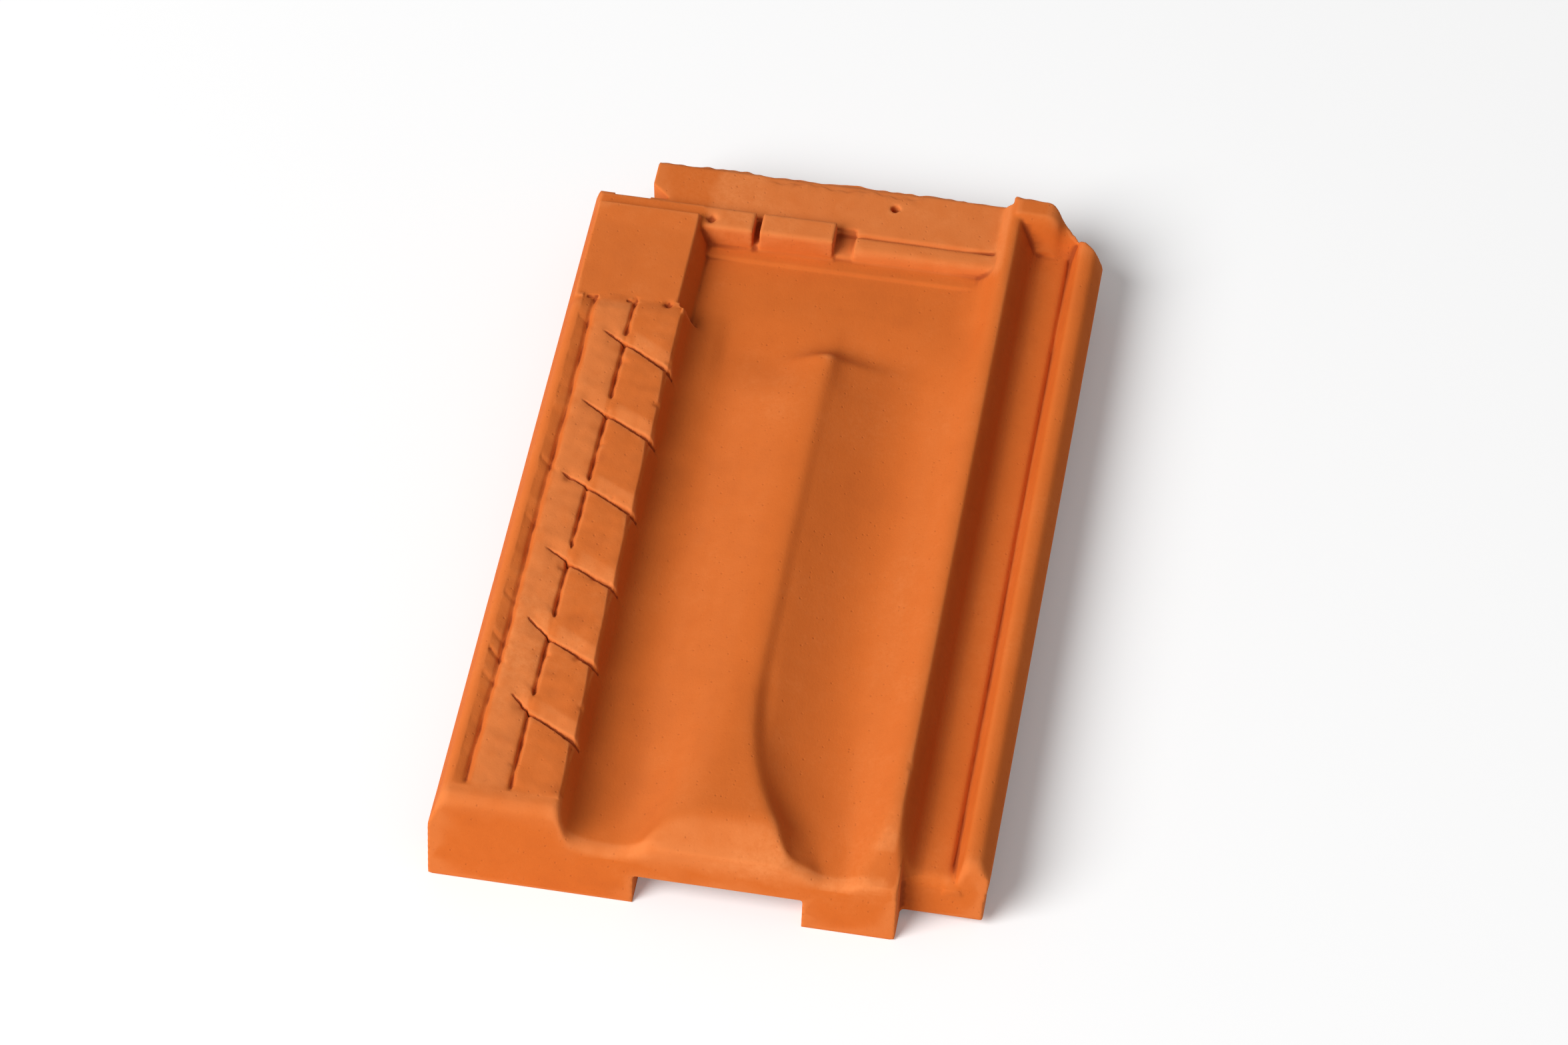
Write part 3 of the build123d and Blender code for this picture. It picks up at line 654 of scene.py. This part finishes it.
def new_group(name, inputs, outputs):
    """An empty shader node group with these value or colour sockets."""
    group = bpy.data.node_groups.new(name, "ShaderNodeTree")
    for label, kind, default in inputs:
        socket = group.interface.new_socket(label, in_out="INPUT", socket_type=kind)
        if default is not None:
            socket.default_value = default
    for label, kind in outputs:
        group.interface.new_socket(label, in_out="OUTPUT", socket_type=kind)
    start = group.nodes.new("NodeGroupInput")
    end = group.nodes.new("NodeGroupOutput")
    return group, start, end


def add(tree, kind, links=(), **values):
    """One node in the tree: values are its settings, links its inputs by name or number."""
    node = tree.nodes.new(kind)
    for key, value in values.items():
        setattr(node, key, value)
    for key, source in links:
        if isinstance(source, bpy.types.NodeSocket):
            tree.links.new(source, node.inputs[key])
        else:
            node.inputs[key].default_value = source
    return node


def math_node(tree, operation, first, second=0.0, clamp=False):
    """The result of one sum on two values."""
    node = add(tree, "ShaderNodeMath", ((0, first), (1, second)), operation=operation, use_clamp=clamp)
    return node.outputs[0]


def between(tree, value, low, high):
    """The value's share of the way from low to high, smoothly held between 0 and 1."""
    node = add(tree, "ShaderNodeMapRange", (("Value", value), ("From Min", low), ("From Max", high)),
               interpolation_type="SMOOTHSTEP")
    return node.outputs["Result"]


def noise(tree, where, scale, detail, rough=0.55):
    """A noise pattern over the surface."""
    node = add(tree, "ShaderNodeTexNoise",
               (("Vector", where), ("Scale", scale), ("Detail", detail), ("Roughness", rough)))
    return node.outputs["Fac"]


def mottle_group():
    """Soft patches and streaks of paler and deeper clay."""
    group, start, end = new_group(
        "clay_mottle",
        [("Where", "NodeSocketVector", None), ("Patch scale", "NodeSocketFloat", 14.0)],
        [("Pale", "NodeSocketFloat"), ("Deep", "NodeSocketFloat")])
    where = start.outputs["Where"]
    broad = add(group, "ShaderNodeTexNoise", (("Vector", where), ("Scale", start.outputs["Patch scale"]),
                                              ("Detail", 4.0), ("Roughness", 0.55))).outputs["Fac"]
    fine = noise(group, where, 95.0, 5.0, 0.62)
    dust = noise(group, where, 420.0, 4.0, 0.6)
    stretched = add(group, "ShaderNodeMapping", (("Vector", where), ("Scale", (1.0, 0.16, 1.0)))).outputs[0]
    streak = noise(group, stretched, 70.0, 4.0, 0.6)
    mixed = math_node(group, "ADD", math_node(group, "MULTIPLY", broad, 0.5),
                      math_node(group, "MULTIPLY", fine, 0.3))
    mixed = math_node(group, "ADD", mixed, math_node(group, "MULTIPLY", streak, 0.2))
    pale = between(group, mixed, 0.47, 0.66)
    pale = math_node(group, "MULTIPLY", pale, between(group, dust, 0.25, 0.7))
    deep = between(group, mixed, 0.52, 0.34)
    group.links.new(pale, end.inputs["Pale"])
    group.links.new(deep, end.inputs["Deep"])
    return group


def grain_group():
    """Fine sandy grain with small pits and specks."""
    group, start, end = new_group(
        "clay_grain",
        [("Where", "NodeSocketVector", None), ("Grain scale", "NodeSocketFloat", 900.0)],
        [("Height", "NodeSocketFloat"), ("Pits", "NodeSocketFloat"), ("Specks", "NodeSocketFloat")])
    where = start.outputs["Where"]
    sand = add(group, "ShaderNodeTexNoise", (("Vector", where), ("Scale", start.outputs["Grain scale"]),
                                             ("Detail", 3.0), ("Roughness", 0.65))).outputs["Fac"]
    skin = noise(group, where, 240.0, 4.0, 0.6)
    cells = add(group, "ShaderNodeTexVoronoi", (("Vector", where), ("Scale", 420.0), ("Randomness", 1.0)))
    sparse = add(group, "ShaderNodeSeparateColor", ((0, cells.outputs["Color"]),)).outputs[0]
    pits = math_node(group, "MULTIPLY", between(group, cells.outputs["Distance"], 0.30, 0.10),
                     between(group, sparse, 0.80, 0.95))
    dots = add(group, "ShaderNodeTexVoronoi", (("Vector", where), ("Scale", 620.0), ("Randomness", 1.0)))
    few = add(group, "ShaderNodeSeparateColor", ((0, dots.outputs["Color"]),)).outputs[1]
    specks = math_node(group, "MULTIPLY", between(group, dots.outputs["Distance"], 0.34, 0.12),
                       between(group, few, 0.74, 0.9))
    height = math_node(group, "ADD", math_node(group, "MULTIPLY", sand, 0.55),
                       math_node(group, "MULTIPLY", skin, 0.45))
    height = math_node(group, "SUBTRACT", height, math_node(group, "MULTIPLY", pits, 0.9))
    group.links.new(height, end.inputs["Height"])
    group.links.new(pits, end.inputs["Pits"])
    group.links.new(specks, end.inputs["Specks"])
    return group


def mix_colour(tree, share, first, second):
    """One colour laid over another by a share."""
    node = add(tree, "ShaderNodeMix", data_type="RGBA")
    for socket, source in ((node.inputs[0], share), (node.inputs[6], first), (node.inputs[7], second)):
        if isinstance(source, bpy.types.NodeSocket):
            tree.links.new(source, socket)
        else:
            socket.default_value = source
    return node.outputs[2]


def fired_clay():
    """Dry orange fired clay: mottled and sandy, paler on its arrises (partly wear, partly painted highlight),
    with painted highlights on its light-facing slopes and painted shade in its hollows.
    """
    _, colours, _ = settings()
    material = bpy.data.materials.new("fired_clay")
    material.use_nodes = True
    tree = material.node_tree
    shader = tree.nodes["Principled BSDF"]
    where = add(tree, "ShaderNodeTexCoord").outputs["Object"]
    mottle = add(tree, "ShaderNodeGroup", node_tree=mottle_group())
    grain = add(tree, "ShaderNodeGroup", node_tree=grain_group())
    for node in (mottle, grain):
        tree.links.new(where, node.inputs["Where"])
    mottle.inputs["Patch scale"].default_value = 14.0
    grain.inputs["Grain scale"].default_value = 900.0
    arris = add(tree, "ShaderNodeAttribute", attribute_name="arris").outputs["Fac"]
    body, pale, deep = [(*colour, 1.0) for colour in (colours.body, colours.pale, colours.deep)]
    pale_patches = math_node(tree, "MULTIPLY", mottle.outputs["Pale"], SHARES["mottle pale"])
    colour = mix_colour(tree, pale_patches, body, pale)
    deep_patches = math_node(tree, "MULTIPLY", mottle.outputs["Deep"], SHARES["mottle deep"])
    colour = mix_colour(tree, deep_patches, colour, deep)
    skyward = add(tree, "ShaderNodeAttribute", attribute_name="skyward").outputs["Fac"]
    dusty = math_node(tree, "MULTIPLY", between(tree, skyward, 0.35, 0.95), SHARES["dust"])
    colour = mix_colour(tree, dusty, colour, pale)
    # Darker blotches and spots, and a painted shadow along the lock's wall.
    smudge_and_shade = add(tree, "ShaderNodeAttribute", attribute_name="smudge_and_shade").outputs["Fac"]
    colour = mix_colour(tree, math_node(tree, "MULTIPLY", smudge_and_shade, SHARES["smudge_and_shade"]), colour, deep)
    # Paler arrises: partly rubbed wear, partly a painted highlight.
    rubbed = math_node(tree, "MULTIPLY", between(tree, arris, 0.03, 0.14), SHARES["rubbed"])
    colour = mix_colour(tree, rubbed, colour, pale)
    # Paler places: rubbed wear at the nose, and painted highlights on the light-facing slopes, the head and
    # the plates' lips.
    worn = add(tree, "ShaderNodeAttribute", attribute_name="worn").outputs["Fac"]
    patchy = math_node(tree, "ADD", math_node(tree, "MULTIPLY", mottle.outputs["Pale"], 0.5), 0.58)
    colour = mix_colour(tree, math_node(tree, "MULTIPLY", worn, patchy, clamp=True), colour, pale)
    # Painted shade: hollows and creases darkened towards the deep colour.
    hollow = math_node(tree, "MULTIPLY", between(tree, arris, -0.03, -0.22), SHARES["hollow"])
    colour = mix_colour(tree, hollow, colour, deep)
    specks = math_node(tree, "MULTIPLY", grain.outputs["Specks"], SHARES["specks"])
    colour = mix_colour(tree, specks, colour, deep)
    pits = math_node(tree, "MULTIPLY", grain.outputs["Pits"], SHARES["pits"])
    colour = mix_colour(tree, pits, colour, deep)
    tree.links.new(colour, shader.inputs["Base Color"])
    rough = add(tree, "ShaderNodeMapRange", (("Value", mottle.outputs["Pale"]), ("To Min", colours.roughness),
                                             ("To Max", colours.roughness + 0.1)))
    tree.links.new(rough.outputs["Result"], shader.inputs["Roughness"])
    shader.inputs["Specular IOR Level"].default_value = 0.12
    bump = add(tree, "ShaderNodeBump",
               (("Height", grain.outputs["Height"]), ("Strength", 0.45), ("Distance", 0.0004)))
    tree.links.new(bump.outputs["Normal"], shader.inputs["Normal"])
    return material


class ROOFTILE_OT_set_stage(bpy.types.Operator):
    """Sets the pale floor, the soft light and the camera"""

    bl_idname = "rooftile.set_stage"
    bl_label = "Set stage"

    def execute(self, context):
        _, _, stage = settings()
        scene = context.scene
        bpy.ops.object.select_all(action="DESELECT")
        bpy.ops.mesh.primitive_plane_add(size=14)
        floor = context.object
        floor.name = "studio_floor"
        pale = bpy.data.materials.new("pale_floor")
        pale.use_nodes = True
        tree = pale.node_tree
        shader = tree.nodes["Principled BSDF"]
        shader.inputs["Base Color"].default_value = (*stage.floor, 1)
        shader.inputs["Roughness"].default_value = 0.95
        shader.inputs["Specular IOR Level"].default_value = 0.1
        shown = add(tree, "ShaderNodeLightPath").outputs["Is Camera Ray"]
        shader.inputs["Emission Color"].default_value = (1, 1, 1, 1)
        lift = math_node(tree, "MULTIPLY", shown, stage.floor_lift)
        tree.links.new(lift, shader.inputs["Emission Strength"])
        floor.data.materials.append(pale)
        world = bpy.data.worlds.new("soft_studio")
        world.use_nodes = True
        sky = world.node_tree.nodes["Background"]
        sky.inputs["Color"].default_value = (1, 1, 1, 1)
        path = add(world.node_tree, "ShaderNodeLightPath")
        seen = math_node(world.node_tree, "MAXIMUM",
                         path.outputs["Is Camera Ray"], path.outputs["Is Glossy Ray"])
        seen = math_node(world.node_tree, "MAXIMUM", seen, path.outputs["Is Transmission Ray"])
        level = add(world.node_tree, "ShaderNodeMapRange",
                    (("Value", seen), ("To Min", stage.fill), ("To Max", 1.0)))
        world.node_tree.links.new(level.outputs["Result"], sky.inputs["Strength"])
        scene.world = world
        middle = (Vector(cad_box[0]) + Vector(cad_box[1])) / 2
        key = bpy.data.lights.new("key_light", "AREA")
        key.energy = stage.key
        key.shape = "DISK"
        key.size = stage.lamp_size
        lamp = bpy.data.objects.new("key_light", key)
        lamp.location = middle + Vector(LAMP_WAY).normalized() * stage.lamp_distance
        lamp.rotation_euler = (middle - lamp.location).to_track_quat("-Z", "Y").to_euler()
        scene.collection.objects.link(lamp)
        camera = bpy.data.objects.new("camera", bpy.data.cameras.new("camera"))
        camera.data.lens = stage.lens
        camera.data.sensor_width = 36
        away = Vector((math.sin(stage.azimuth) * math.cos(stage.elevation),
                       -math.cos(stage.azimuth) * math.cos(stage.elevation), math.sin(stage.elevation)))
        camera.location = middle + away * stage.distance
        camera.rotation_euler = (-away).to_track_quat("-Z", "Y").to_euler()
        scene.collection.objects.link(camera)
        scene.camera = camera
        scene.view_settings.view_transform = "Standard"
        return {"FINISHED"}


class ROOFTILE_PT_tile(bpy.types.Panel):
    """Lists the tile's values and its steps"""

    bl_idname = "ROOFTILE_PT_tile"
    bl_label = "Roof Tile"
    bl_space_type = "VIEW_3D"
    bl_region_type = "UI"
    bl_category = "Roof Tile"

    def draw(self, context):
        layout = self.layout
        for group in settings():
            box = layout.box()
            for name in group.bl_rna.properties.keys():
                if name not in ("rna_type", "name"):
                    box.prop(group, name)
        for step in STEPS:
            layout.operator(step.bl_idname)


GROUPS = (("tile_sizes", TileSizes), ("clay_colours", ClayColours), ("stage_settings", StageSettings))
STEPS = (ROOFTILE_OT_press_blank, ROOFTILE_OT_shape_pan, ROOFTILE_OT_carve_band, ROOFTILE_OT_wear_tile,
         ROOFTILE_OT_fire_tile, ROOFTILE_OT_set_stage)


def register():
    for name, group in GROUPS:
        bpy.utils.register_class(group)
        setattr(bpy.types.Scene, name, bpy.props.PointerProperty(type=group))
    for step in (*STEPS, ROOFTILE_PT_tile):
        bpy.utils.register_class(step)


def unregister():
    for step in reversed((*STEPS, ROOFTILE_PT_tile)):
        bpy.utils.unregister_class(step)
    for name, group in reversed(GROUPS):
        delattr(bpy.types.Scene, name)
        bpy.utils.unregister_class(group)


def main():
    register()
    bpy.ops.rooftile.press_blank()
    bpy.ops.rooftile.shape_pan()
    bpy.ops.rooftile.carve_band()
    bpy.ops.rooftile.wear_tile()
    bpy.ops.rooftile.fire_tile()
    bpy.ops.rooftile.set_stage()


if __name__ == "__main__":
    main()
